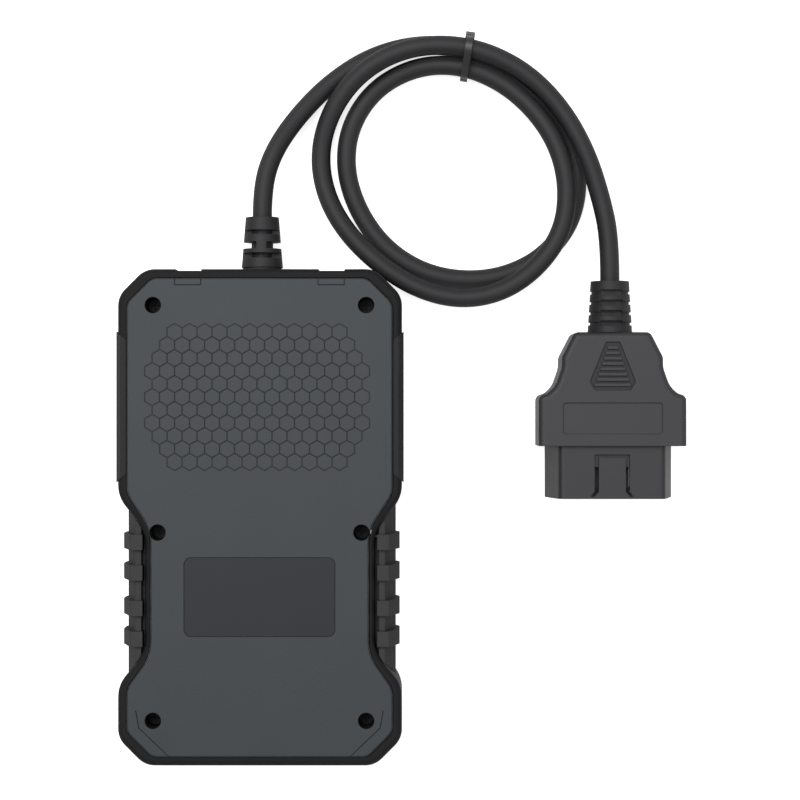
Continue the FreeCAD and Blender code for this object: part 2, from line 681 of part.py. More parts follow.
def make_rear_cover():
    shell = case_plate("rear_outer", COVER_INSET, "web_high", "back_face", COVER_WAIST)
    top = number("back_face")
    soften(shell, "cover_round", lambda e: at_level(e, top))
    hollow = case_plate("rear_hollow", HOLLOW_INSET, "web_high - 1", "back_inside", HOLLOW_WAIST)
    bosses = []
    for index, (x, y) in enumerate(CASE_SCREWS):
        bosses.append(rod("rear_boss_%d" % index, (x, y, "web_high - 2"), "head_radius + boss_wall",
                          "back_inside - web_high + 3"))
    space = cut("rear_space", hollow, bosses)
    tools = [space]
    for index, (x, y) in enumerate(CASE_SCREWS):
        tools.append(rod("rear_well_%d" % index, (x, y, "shoulder"), "head_radius + well_gap",
                         "back_face - shoulder + 1"))
        tools.append(rod("rear_shank_%d" % index, (x, y, "web_high - 1"), "shank_radius + shank_gap",
                         "shoulder - web_high + 2"))
    tools.append(prism("label_recess", rectangle("0", "label_y", "label_wide", "label_tall"),
                       "back_face - label_depth", "back_face + 1", ["label_round"] * 4))
    tools.append(exit_hole("rear_exit", "half_length - rim_inset - groove - wall - 1", "half_length"))
    low, high = "back_face - line_deep", "back_face + 1"
    edge = "half_length - rim_inset - groove"
    half_line = " - line_wide / 2"
    catch = cut("catch_right",
                box("catch_block", ("catch_near" + half_line, edge + " - catch_deep" + half_line, low),
                    ("catch_far + line_wide / 2", edge + " + 1", high)),
                [box("catch_island", ("catch_near + line_wide / 2", edge + " - catch_deep + line_wide / 2",
                                      "back_inside"),
                     ("catch_far" + half_line, edge + " + 2", high))])
    tools += [catch, mirrored("catch_left", catch)]
    for turn, side in (("", "right"), ("-", "left")):
        foot = [(number(turn + x), number(y)) for x, y in FOOT_LINE]
        for index, ends in enumerate(zip(foot, foot[1:])):
            tools.append(strip("foot_line_%s_%d" % (side, index), *ends, low, high))
    plain = cut("rear_plain", shell, tools)
    hexes = doc.addObject("Part::Cut", "rear_cover")
    hexes.Base = plain
    hexes.Tool = make_hex_lines()
    node("rear_cover", hexes)


def make_label():
    size = ("label_wide - 2 * label_gap", "label_tall - 2 * label_gap")
    low = "back_face - label_depth"
    node("rating_label", prism("rating_label", rectangle("0", "label_y", *size), low,
                               low + " + label_thick", ["label_round - label_gap"] * 4))


def make_front_cover():
    shell = case_plate("front_outer", COVER_INSET, "front_face", "web_low", COVER_WAIST)
    level = number("front_face")
    soften(shell, "cover_round", lambda e: at_level(e, level))
    hollow = case_plate("front_hollow", HOLLOW_INSET, "front_inside", "web_low + 1", HOLLOW_WAIST)
    posts = []
    for index, (x, y) in enumerate(CASE_SCREWS):
        posts.append(rod("front_boss_%d" % index, (x, y, "front_face + 1"),
                         "head_radius + boss_wall - 0.2", "web_low"))
    space = cut("front_space", hollow, posts)
    extra = []
    for index, (x, y) in enumerate(CASE_SCREWS):
        extra.append(rod("front_neck_%d" % index, (x, y, "web_low - 1"), "shank_radius + neck_wall",
                         "web_high - web_low + 1"))
    for index, (x, y) in enumerate(BOARD_POSTS):
        extra.append(rod("front_post_%d" % index, (x, y, "front_inside - 0.5"), "post_radius",
                         "board_low - front_inside + 0.5"))
    body = fuse("front_solid", [cut("front_tray", shell, [space])] + extra)
    tools = []
    for index, (x, y) in enumerate(CASE_SCREWS):
        tools.append(rod("front_shank_%d" % index, (x, y, "screw_tip - 1"), "shank_radius + shank_gap",
                         "web_high"))
    for index, (x, y) in enumerate(BOARD_POSTS):
        tools.append(rod("front_pilot_%d" % index, (x, y, "front_inside + 1"), "1.2", "board_low"))
    tools.append(exit_hole("front_exit", "half_length - rim_inset - groove - wall - 1", "half_length"))
    tools.append(prism("lens_recess", rectangle("0", "screen_y", "lens_wide", "lens_tall"),
                       "front_face - 1", "front_face + lens_depth", ["lens_round"] * 4))
    tools.append(prism("window", rectangle("0", "screen_y", "window_wide", "window_tall"),
                       "front_face", "front_inside + 1", ["1.5"] * 4))
    for name, x, y, wide, tall, radius in KEYS:
        size = ("%s + 2 * key_gap" % wide, "%s + 2 * key_gap" % tall)
        tools.append(prism(name + "_hole", rectangle(x, y, *size), "front_face - 1", "front_inside + 1",
                           ["%s + key_gap" % radius] * 4))
    for index in (-1, 0, 1):
        place = ("%d * light_pitch" % index, "light_y", "front_face - 1")
        tools.append(rod("light_hole_%d" % (index + 1), place, "light_radius + 0.3", "4"))
    node("front_cover", cut("front_cover", body, tools))


def make_screws():
    screws = []
    for index, (x, y) in enumerate(CASE_SCREWS):
        shank = rod("case_shank_%d" % index, (x, y, "screw_tip"), "shank_radius", "shoulder - screw_tip + 1")
        head = rod("case_head_%d" % index, (x, y, "shoulder"), "head_radius", "head_height")
        slots = [
            box("case_slot_%s_%d" % (way, index),
                ("%s - %s" % (x, half_x), "%s - %s" % (y, half_y), "shoulder + head_height - 0.9"),
                ("%s + %s" % (x, half_x), "%s + %s" % (y, half_y), "shoulder + head_height + 1"))
            for way, half_x, half_y in (("a", 1.3, 0.25), ("b", 0.25, 1.3))
        ]
        screws.append(cut("case_screw_%d" % index, fuse("case_blank_%d" % index, [shank, head]), slots))
    node("case_screws", together("case_screws", screws))
    small = []
    top = "board_low + board_thick"
    for index, (x, y) in enumerate(BOARD_POSTS):
        shank = rod("board_shank_%d" % index, (x, y, "front_inside + 1.6"), "0.9",
                    "board_low + board_thick - front_inside - 1")
        head = rod("board_head_%d" % index, (x, y, top), "1.9", "1.2")
        small.append(fuse("board_screw_%d" % index, [shank, head]))
    node("board_screws", together("board_screws", small))


def make_display():
    lens_size = ("lens_wide - 2 * lens_gap", "lens_tall - 2 * lens_gap")
    node("screen_lens", prism("screen_lens", rectangle("0", "screen_y", *lens_size), "front_face + 0.15",
                              "front_face + lens_depth", ["lens_round - lens_gap"] * 4))
    outer = prism("gasket_outer", rectangle("0", "screen_y", "window_wide + 4", "window_tall + 4"),
                  "front_inside", "front_inside + gasket_thick")
    inner = prism("gasket_inner", rectangle("0", "screen_y", "window_wide", "window_tall"),
                  "front_inside - 1", "front_inside + 2")
    node("display_gasket", cut("display_gasket", outer, [inner]))
    frame = prism("display_frame", rectangle("0", "screen_y", "module_wide", "module_tall"),
                  "front_inside + gasket_thick", "board_low")
    bezel = prism("display_bezel", rectangle("0", "screen_y + 1", "window_wide - 4", "window_tall - 6"),
                  "front_inside", "front_inside + gasket_thick + 0.5")
    node("display_module", cut("display_module", frame, [bezel]))


def make_keys():
    for name, x, y, wide, tall, radius in KEYS:
        body = prism(name, rectangle(x, y, wide, tall), "key_face", "front_inside", [radius] * 4)
        face = number("key_face")
        soften(body, "0.3", lambda e, level=face: at_level(e, level), "Chamfer")
        flange = new_sketch(body, name + "_flange_outline", "xy", "front_inside")
        size = ("%s + 2 * key_flange" % wide, "%s + 2 * key_flange" % tall)
        polygon(flange, rectangle(x, y, *size), [radius] * 4)
        pad = body.newObject("PartDesign::Pad", name + "_flange")
        pad.Profile = flange
        bind(pad, "Length", "key_flange_thick")
        stem = new_sketch(body, name + "_stem_outline", "xy", "front_inside + key_flange_thick / 2")
        stem.addGeometry(Part.Circle(FreeCAD.Vector(x, y, 0), FreeCAD.Vector(0, 0, 1), number("key_stem")))
        for kind, value in (("DistanceX", x), ("DistanceY", y)):
            stem.addConstraint(Sketcher.Constraint(kind, -1, 1, 0, 3, value))
        bound = stem.addConstraint(Sketcher.Constraint("Radius", 0, number("key_stem")))
        bind(stem, "Constraints[%d]" % bound, "key_stem")
        pad = body.newObject("PartDesign::Pad", name + "_stem")
        pad.Profile = stem
        bind(pad, "Length", "key_stem_end - front_inside - key_flange_thick / 2")
        doc.recompute()
        node(name, body)


def make_key_guide():
    middle_y = "(guide_low_y + guide_high_y) / 2"
    tall = "guide_high_y - guide_low_y"
    wide = "2 * guide_half"
    frame = prism("guide_frame", rectangle("0", middle_y, wide, tall), "front_inside",
                  "board_low")
    wells = []
    inner = (wide + " - 2 * guide_wall", tall + " - 2 * guide_wall")
    wells.append(prism("guide_front_well", rectangle("0", middle_y, *inner), "front_inside - 1",
                       "guide_plate_low"))
    wells.append(prism("guide_back_well", rectangle("0", middle_y, *inner), "guide_plate_high",
                       "board_low + 1"))
    for name, x, y, *_ in KEYS:
        wells.append(rod(name + "_guide_hole", (x, y, "guide_plate_low - 1"), "key_stem + 0.4", "3"))
    for index, (x, y) in enumerate(CASE_SCREWS[2:4]):
        wells.append(rod("guide_notch_%d" % index, (x, y, "front_inside - 1"),
                         "head_radius + boss_wall - 0.2 + guide_gap", "board_low"))
    node("key_guide", cut("key_guide", frame, wells))


def make_boards():
    top = "board_low + board_thick"
    head = prism("board_head", rectangle("0", "screen_y", "module_wide", "module_tall"), "board_low", top)
    neck = "(waist_half - board_inset)"
    foot = prism("board_foot_part", [
        ("-" + neck, "board_foot"), (neck, "board_foot"),
        (neck, "screen_y"), ("-" + neck, "screen_y"),
    ], "board_low", top)
    holes = []
    for index, (x, y) in enumerate(BOARD_POSTS):
        holes.append(rod("board_hole_%d" % index, (x, y, "board_low - 1"), "1.2", "board_thick + 2"))
    node("main_board", cut("main_board", fuse("board_blank", [head, foot]), holes))
    upper = prism("interface_board", rectangle("0", "29", "48", "42"), "second_low",
                  "second_low + board_thick", ["1"] * 4)
    node("interface_board", upper)
    spacers = []
    for index, (x, y) in enumerate(SPACER_PLACES):
        spacers.append(rod("spacer_%d" % index, (x, y, top), "2.2", "second_low - board_low - board_thick"))
    node("board_spacers", together("board_spacers", spacers))
    node("board_link", box("board_link", (-10, 20, top), (10, 25, "second_low")))


def chips(name, places, level):
    blocks = []
    for index, (x, y, wide, tall, thick) in enumerate(places):
        blocks.append(box("%s_%d" % (name, index), (x - wide / 2, y - tall / 2, level),
                          (x + wide / 2, y + tall / 2, "%s + %s" % (level, thick))))
    node(name, together(name, blocks))


def make_electronics():
    top = "board_low + board_thick"
    chips("processor_chips", MAIN_CHIPS, top)
    chips("interface_chips", INTERFACE_CHIPS, "second_low + board_thick")
    can = rod("buzzer_can", (-13, -48, top), "6", "6")
    vent = rod("buzzer_vent", (-13, -48, top + " + 5"), "1.2", "2")
    node("buzzer", cut("buzzer", can, [vent]))
    switches = []
    for name, x, y, wide, tall, radius in KEYS:
        pad = rod(name + "_switch_base", (x, y, "board_low - 0.4"), "3", "0.4")
        dome = taper(name + "_dome", (x, y, "switch_front"), "1.4", "2.4", "board_low - switch_front - 0.2")
        switches.append(fuse(name + "_switch", [pad, dome]))
    node("dome_switches", together("dome_switches", switches))
    pipes, lamps = [], []
    lamp_front = "board_low - 0.8"
    for index in (-1, 0, 1):
        x = "%d * light_pitch" % index
        rod_length = "board_low - 0.8 - front_face"
        pipe = rod("light_rod_%d" % (index + 1), (x, "light_y", "front_face"), "light_radius", rod_length)
        collar = rod("light_collar_%d" % (index + 1), (x, "light_y", "front_inside"), "light_flange", "0.8")
        pipes.append(fuse("light_pipe_%d" % (index + 1), [pipe, collar]))
        lamps.append(box("status_led_%d" % (index + 1), (x + " - 1", "light_y - 0.8", lamp_front),
                         (x + " + 1", "light_y + 0.8", "board_low")))
    node("status_light_pipes", together("status_light_pipes", pipes))
    node("status_leds", together("status_leds", lamps))
    node("board_connector", box("board_connector", (-6, 50, top), (6, 57, "axis_z + 2.5")))


def make_strain_relief():
    y = "half_length"
    inner = "half_length - rim_inset - groove - wall"
    pieces = [
        box("relief_flange", ("-flange_half", inner + " - flange_thick", "axis_z - flange_half"),
            ("flange_half", inner, "axis_z + flange_half")),
        exit_hole("relief_neck", inner + " - 1", y + " + 1"),
        taper("relief_cone", ("0", y, "axis_z"), "relief_base", "relief_tip", "relief_long", "y"),
    ]
    tools = []
    for name, start, end, bridge in (("near", 3.8, 5.35, "side"), ("middle", 6.7, 8.7, "face"),
                                     ("far", 11.0, 12.3, "side")):
        across, through = ("8", "1.5") if bridge == "side" else ("1.5", "8")
        ring = rod("relief_ring_" + name, ("0", "%s + %s" % (y, start), "axis_z"), "8", end - start, "y")
        keep = [
            rod("relief_core_" + name, ("0", y, "axis_z"), "3.3", "relief_long", "y"),
            box("relief_bridge_" + name, ("-" + across, y, "axis_z - " + through),
                (across, y + " + relief_long", "axis_z + " + through)),
        ]
        tools.append(cut("relief_slot_" + name, ring, keep))
    collar = rod("relief_collar", ("0", y + " + 0.5", "axis_z"), "8", "0.45", "y")
    inner_collar = rod("relief_collar_core", ("0", y, "axis_z"), "relief_base - 0.45", "2", "y")
    tools.append(cut("relief_collar_line", collar, [inner_collar]))
    node("device_strain_relief", cut("device_strain_relief", fuse("relief_blank", pieces), tools))
    cores = []
    for index, x in enumerate((-3, -1, 1, 3)):
        cores.append(rod("core_%d" % index, (x, "57", "axis_z"), "0.6", inner + " - flange_thick - 57", "y"))
    node("tool_cable_cores", together("tool_cable_cores", cores))


def cable_path():
    """Straight runs joined by tangent arcs, each arc as large as its two runs allow."""
    points = [FreeCAD.Vector(*point) for point in CABLE_ROUTE]
    edges, radii = [], []
    here = points[0]
    for before, corner, after in zip(points, points[1:], points[2:]):
        back, ahead = before - corner, after - corner
        reach = 0.45 * min(back.Length, ahead.Length)
        back.normalize()
        ahead.normalize()
        turn = math.pi - back.getAngle(ahead)
        radius = reach / math.tan(turn / 2)
        radii.append(radius)
        start, end = corner + back * reach, corner + ahead * reach
        inward = (back + ahead).normalize()
        middle = corner + inward * (radius / math.cos(turn / 2) - radius)
        edges.append(Part.LineSegment(here, start).toShape())
        edges.append(Part.Arc(start, middle, end).toShape())
        here = end
    edges.append(Part.LineSegment(here, points[-1]).toShape())
    return Part.Wire(edges), radii


def make_cable():
    path, radii = cable_path()
    radius = number("cable_radius")
    start = FreeCAD.Vector(*CABLE_ROUTE[0])
    circle = Part.Wire([Part.makeCircle(radius, start, FreeCAD.Vector(0, 1, 0))])
    tube = path.makePipeShell([circle], True, False)
    thing = doc.addObject("Part::Feature", "cable")
    thing.Shape = Part.Solid(tube) if tube.ShapeType == "Shell" else tube
    expected = math.pi * radius ** 2 * path.Length
    print("cable: length %.1f mm, volume / (section x length) = %.4f" % (
        path.Length, thing.Shape.Volume / expected))
    print("cable: arc radii in mm: " + " ".join("%.0f" % r for r in radii))
    node("cable", thing)
    return path


def make_tie(path):
    """Band round the three strands where they run side by side, square to them, head on the outside.

    It is built across the X axis on a copy of the path that is turned by the tie's tilt, then turned back.
    """
    x = number("tie_x")
    pivot, upward = FreeCAD.Vector(x, number("tie_y"), 0), FreeCAD.Vector(0, 0, 1)
    turned = path.copy()
    turned.rotate(pivot, upward, number("tie_tilt"))
    corner = FreeCAD.Vector(x, pivot.y - 20, -5)
    cutter = Part.makePlane(40, 40, corner, FreeCAD.Vector(1, 0, 0), FreeCAD.Vector(0, 1, 0))
    spots = [vertex.Point for vertex in turned.section(cutter).Vertexes]
    inner_radius = number("cable_radius + tie_gap")
    thick, wide = number("tie_thick"), number("tie_wide")
    centre = sum(spots, FreeCAD.Vector()) * (1 / len(spots))
    spots.sort(key=lambda p: math.atan2(p.z - centre.z, p.y - centre.y))
    middles = Part.Face(Part.makePolygon(spots + [spots[0]]))
    band = middles.makeOffset2D(inner_radius + thick).cut(middles.makeOffset2D(inner_radius))
    band.translate(FreeCAD.Vector(-wide / 2, 0, 0))
    band = band.extrude(FreeCAD.Vector(wide, 0, 0))
    top = max(spots, key=lambda p: p.z)
    head_size = FreeCAD.Vector(wide + 0.6, 1.8, 3.6)
    head_corner = FreeCAD.Vector(x - head_size.x / 2, top.y + inner_radius, top.z - 2.8)
    head = Part.makeBox(head_size.x, head_size.y, head_size.z, head_corner)
    low = min(spots, key=lambda p: p.y)
    tail_corner = FreeCAD.Vector(x - wide / 2, low.y - inner_radius - 1.2, low.z)
    tail = Part.makeBox(wide, 1.4, thick, tail_corner)
    shape = band.fuse([head, tail]).removeSplitter()
    shape.rotate(pivot, upward, -number("tie_tilt"))
    thing = doc.addObject("Part::Feature", "cable_tie")
    thing.Shape = shape
    node("cable_tie", thing)


def along_plug(x, y, z):
    return ("plug_x + (%s)" % x, y, "plug_z + (%s)" % z)


def make_plug_housing():
    x = "plug_x"
    right = [
        ("plug_flange_half", "plug_mouth"),
        ("plug_flange_half", "plug_step"),
        ("plug_body_half + 4.2", "plug_step + 0.9"),
        ("plug_body_half + 1.9", "plug_step + 3.2"),
        ("plug_body_half", "plug_step + 8.6"),
        ("plug_body_half", "plug_step + 11.7"),
        ("plug_neck_half", "plug_top"),
    ]
    radii = [None, "2", "3.2", "6.5", "7", "3", "2"]
    corners = [("%s + %s" % (x, a), b) for a, b in right]
    corners += [("%s - (%s)" % (x, a), b) for a, b in reversed(right)]
    body = prism("plug_blank", corners, "plug_z - plug_thick / 2", "plug_z + plug_thick / 2",
                 radii + radii[::-1])
    levels = (number("plug_z - plug_thick / 2"), number("plug_z + plug_thick / 2"))
    mouth = number("plug_mouth")

    def rim(edge):
        on_level = at_level(edge, levels[0]) or at_level(edge, levels[1])
        return on_level and not all(abs(vertex.Y - mouth) < 1e-4 for vertex in edge.Vertexes)
    soften(body, "plug_round", rim)
    tools = [
        box("plug_cavity", along_plug("-root_half", "plug_mouth - 1", "-root_tall / 2"),
            along_plug("root_half", "plug_mouth + shell_seat", "root_tall / 2")),
        box("plug_core_space", along_plug("-mould_half", "plug_mouth", "-5.5"),
            along_plug("mould_half", "mould_top", "5.5")),
    ]
    for side, low, high in (("back", "plug_z + plug_thick / 2 - 0.6", "plug_z + plug_thick / 2 + 1"),
                            ("front", "plug_z - plug_thick / 2 - 1", "plug_z - plug_thick / 2 + 0.6")):
        right_pad = [("5.4", "1.7"), ("6.9", "4.4"), ("2.1", "16.3")]
        pad = [("%s + %s" % (x, a), "plug_step + " + b) for a, b in right_pad]
        pad += [("%s - %s" % (x, a), "plug_step + " + b) for a, b in reversed(right_pad)]
        recess = prism("thumb_recess_" + side, pad, low, high, ["0.8", "0.8", "0.6", "0.6", "0.8", "0.8"])
        ribs = []
        for index in range(8):
            place = "plug_step + 2.9 + 1.6 * %d" % index
            half = "5.5 - 0.55 * %d" % index
            ribs.append(box("thumb_rib_%s_%d" % (side, index), ("%s - (%s)" % (x, half), place, low),
                            ("%s + (%s)" % (x, half), place + " + 0.95", high)))
        tools.append(cut("thumb_grip_" + side, recess, ribs))
        middle = "(plug_mouth + plug_step) / 2 + 0.8"
        shallow = (low + " + 0.1", high) if side == "back" else (low, high + " - 0.1")
        tools.append(prism("flange_recess_" + side, rectangle(x, middle, "30", "9.4"), shallow[0], shallow[1],
                           ["1"] * 4))
    node("plug_housing", cut("plug_housing", body, tools))
    fill = [
        box("mould_block", along_plug("-mould_half", "plug_mouth + shell_seat", "-5.5"),
            along_plug("mould_half", "mould_top", "5.5")),
    ]
    sockets = [
        box("mould_socket_%d" % index, *pin_box(place, row, "plug_mouth + shell_seat - 1", "pin_root"))
        for index, (place, row) in enumerate(pin_places())
    ]
    node("plug_inner_mould", cut("plug_inner_mould", fill[0], sockets))


def pin_places():
    return [(place, row) for row in (-0.5, 0.5) for place in range(8)]


def pin_box(place, row, low_y, high_y):
    """Corners of one flat pin between two stations along the plug."""
    x = "(%s - 3.5) * pin_pitch" % place
    z = "%s * pin_rows" % row
    low = along_plug(x + " - pin_wide / 2", low_y, z + " - pin_thick / 2")
    high = along_plug(x + " + pin_wide / 2", high_y, z + " + pin_thick / 2")
    return low, high


def shell_outline(inset):
    """D-shaped section, wide side down; the inset is the wall."""
    lean = "(shell_wide - shell_narrow) / 2 / shell_tall"
    wide = "shell_wide / 2 - (%s) * (1 + %s)" % (inset, lean)
    narrow = "shell_narrow / 2 - (%s) * (1 - %s)" % (inset, lean)
    low = "plug_z - shell_tall / 2 + (%s)" % inset
    high = "plug_z + shell_tall / 2 - (%s)" % inset
    corners = [
        ("plug_x - (%s)" % wide, low), ("plug_x + (%s)" % wide, low),
        ("plug_x + (%s)" % narrow, high), ("plug_x - (%s)" % narrow, high),
    ]
    return corners, ["max(shell_round - (%s); 0.4)" % inset] * 4


def make_connector():
    corners, radii = shell_outline("0")
    skin = prism("shell_skin", corners, "plug_nose", "plug_mouth", radii, "xz")
    root = box("shell_root", along_plug("-root_half", "plug_mouth - 1", "-root_tall / 2"),
               along_plug("root_half", "plug_mouth + shell_seat", "root_tall / 2"))
    corners, radii = shell_outline("shell_wall")
    inside = prism("shell_inside", corners, "plug_nose - 1", "plug_mouth - 1.4", radii, "xz")
    tools = [inside]
    floor, roof = "plug_z + shell_tall / 2 - shell_wall - 0.5", "plug_z + shell_tall / 2 + 1"
    for turn in (1, -1):
        side = "right" if turn > 0 else "left"
        corners = [
            ("4.1", "2.2"), ("5.4", "0.7"), ("6.5", "0.7"), ("5.3", "2.4"), ("5.3", "13.4"), ("4.1", "13.4"),
        ]
        path = [("plug_x + %d * %s" % (turn, a), "plug_nose + " + b) for a, b in corners]
        tools.append(prism("latch_slot_" + side, path, floor, roof))
    tools.append(box("latch_bar", ("plug_x - 4.5", "plug_nose + 12.5", floor),
                     ("plug_x + 4.5", "plug_nose + 13.4", roof)))
    sockets = [
        box("shell_socket_%d" % index, *pin_box(place, row, "plug_mouth - 3", "plug_mouth + shell_seat + 1"))
        for index, (place, row) in enumerate(pin_places())
    ]
    node("connector_shell", cut("connector_shell", fuse("shell_solid", [skin, root]), tools + sockets))
    corners, radii = shell_outline("shell_wall + 0.3")
    plate = prism("carrier_plate", corners, "plug_mouth - 1.4 - carrier_long", "plug_mouth - 1.4", radii,
                  "xz")
    bar = box("carrier_bar", along_plug("-bar_half", "bar_end", "-bar_thick / 2"),
              along_plug("bar_half", "plug_mouth - 1.4", "bar_thick / 2"))
    holes = [
        box("carrier_hole_%d" % index, *pin_box(place, row, "plug_nose", "plug_mouth"))
        for index, (place, row) in enumerate(pin_places())
    ]
    node("pin_carrier", cut("pin_carrier", fuse("carrier_blank", [plate, bar]), holes))
    pins = [
        box("pin_%d" % index, *pin_box(place, row, "pin_end", "pin_root"))
        for index, (place, row) in enumerate(pin_places())
    ]
    node("contact_pins", together("contact_pins", pins))


def make_plug_relief():
    base = ("plug_x", "plug_top", "plug_z")
    core = taper("boot_core", base, "6.25", "5.45", "plug_tip - plug_top", "y")
    pieces = [core]
    pitch = "(plug_tip - plug_top) / 5"
    for index in range(5):
        start = "plug_top + %s * %d" % (pitch, index)
        low = "6.8 - 0.19 * %d" % index
        pieces.append(taper("boot_ring_%d" % index, ("plug_x", start, "plug_z"), low, low + " - 0.16",
                            pitch + (" - 0.9" if index < 4 else ""), "y"))
    slots = []
    for index in range(4):
        start = "plug_top + %s * %d - 1.3" % (pitch, index + 1)
        for side, low, high in (("up", "4", "8"), ("down", "-8", "-4")):
            slots.append(box("boot_slot_%s_%d" % (side, index), along_plug("-3.3", start, low),
                             along_plug("3.3", start + " + 1.7", high)))
    node("plug_strain_relief", cut("plug_strain_relief", fuse("boot_blank", pieces), slots))


make_bumper()
make_side_trims()
make_grips()
make_rear_cover()
make_label()
make_front_cover()
make_screws()
make_display()
make_keys()
make_key_guide()
make_boards()
make_electronics()
make_strain_relief()
make_tie(make_cable())
make_plug_housing()
make_connector()
make_plug_relief()
doc.recompute()

for thing in doc.Objects:
    troubles = [word for word in thing.State if word in ("Invalid", "Error")]
    if troubles:
        raise RuntimeError("%s is %s" % (thing.Name, troubles))

os.makedirs("parts", exist_ok=True)
for thing in NODES:
    shape = thing.Shape
    if shape.isNull() or not shape.isValid() or not shape.Solids:
        raise RuntimeError("%s has no valid solid" % thing.Label)
    shape.exportStep("parts/%s.step" % thing.Label)
    size = shape.BoundBox
    print("%-22s %2d solid(s) %8.0f mm3  x %.1f..%.1f  y %.1f..%.1f  z %.2f..%.2f" % (
        thing.Label, len(shape.Solids), shape.Volume,
        size.XMin, size.XMax, size.YMin, size.YMax, size.ZMin, size.ZMax))
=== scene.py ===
import math

import bpy
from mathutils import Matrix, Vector


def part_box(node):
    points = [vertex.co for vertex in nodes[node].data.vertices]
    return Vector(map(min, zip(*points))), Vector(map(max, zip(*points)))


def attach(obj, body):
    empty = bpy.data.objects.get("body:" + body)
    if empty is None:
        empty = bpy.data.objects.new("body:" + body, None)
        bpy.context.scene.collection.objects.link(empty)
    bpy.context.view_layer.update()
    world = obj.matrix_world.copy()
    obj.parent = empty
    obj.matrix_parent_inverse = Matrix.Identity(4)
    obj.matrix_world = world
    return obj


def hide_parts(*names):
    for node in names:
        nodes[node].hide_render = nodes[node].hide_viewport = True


# Looks of the OBD code reader: materials, cable, key symbols, studio and camera. Metres.

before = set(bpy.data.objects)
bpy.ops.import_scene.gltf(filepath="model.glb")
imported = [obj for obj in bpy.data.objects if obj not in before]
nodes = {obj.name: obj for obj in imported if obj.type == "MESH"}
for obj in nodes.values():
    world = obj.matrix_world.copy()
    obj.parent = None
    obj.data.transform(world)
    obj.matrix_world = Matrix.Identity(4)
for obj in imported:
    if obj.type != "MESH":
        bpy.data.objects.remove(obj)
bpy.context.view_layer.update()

MM = 0.001
KEYS = ["key_up", "key_down", "key_left", "key_right", "key_ok", "key_back", "key_menu"]
BACK_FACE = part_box("rear_cover")[1][2]
CABLE_DIAMETER = 5.9 * MM
# Depths below the back face under which grooves and recesses get painted shade.
GROOVE_DEPTH = 0.05 * MM
RECESS_DEPTH = 0.5 * MM
THUMB_HALF = 7.5 * MM
PAINT_OUT = 0.03 * MM
PAINT_IN = 0.02 * MM
FLOOR_HALF = 3.0
FLOOR_DROP = 0.0001
STUDIO_MIDDLE = (0.04, 0.03, 0)
CAMERA_PLACE = (0.0419, 0.0351, 0.670)
CAMERA_LENS = 97.2
CLOUD_SCALE = 60
# Bounds of |normal z| between which the painted shade or highlight on upright faces fades to none.
UPRIGHT_BELOW = 0.35
LEVEL_ABOVE = 0.95

# The cable's route, in millimetres, the same points as in the part's source.
CABLE_ROUTE = [
    (0, 90.6, 12.5), (0, 99.6, 12.5), (2.9, 110.2, 11.0), (9.8, 121.4, 7.2), (20.0, 132.6, 3.9),
    (32.6, 141.0, 3.1), (46.8, 144.8, 3.7), (61.6, 143.9, 4.6), (75.0, 138.9, 3.7), (86.2, 129.8, 3.1),
    (94.0, 117.4, 3.1), (97.2, 103.4, 3.1), (94.8, 89.9, 3.1), (86.4, 79.3, 3.1), (74.4, 73.2, 3.1),
    (61.2, 71.8, 3.1), (48.3, 74.6, 3.1), (37.0, 82.0, 3.1), (28.9, 93.2, 3.1), (24.8, 106.4, 3.1),
    (26.3, 119.6, 3.1), (34.0, 131.2, 3.4), (46.4, 137.7, 5.0), (59.8, 138.2, 6.7), (72.8, 133.2, 6.6),
    (83.4, 124.0, 7.7), (90.6, 112.4, 9.4), (93.4, 99.4, 9.5), (91.6, 86.3, 9.5), (83.6, 75.1, 9.2),
    (72.6, 67.8, 8.6), (59.6, 65.8, 8.2), (46.6, 69.4, 8.0), (35.0, 77.0, 7.8), (25.0, 87.0, 6.7),
    (18.6, 99.0, 4.8), (17.0, 112.0, 4.6), (21.0, 124.6, 7.4), (29.4, 135.2, 9.6), (41.6, 142.0, 10.9),
    (55.2, 143.8, 11.5), (69.0, 141.2, 11.4), (81.7, 134.3, 10.4), (91.8, 123.6, 9.6), (98.8, 111.0, 9.4),
    (103.2, 97.8, 8.9), (106.0, 84.4, 10.0), (106.0, 71.3, 10.0),
]


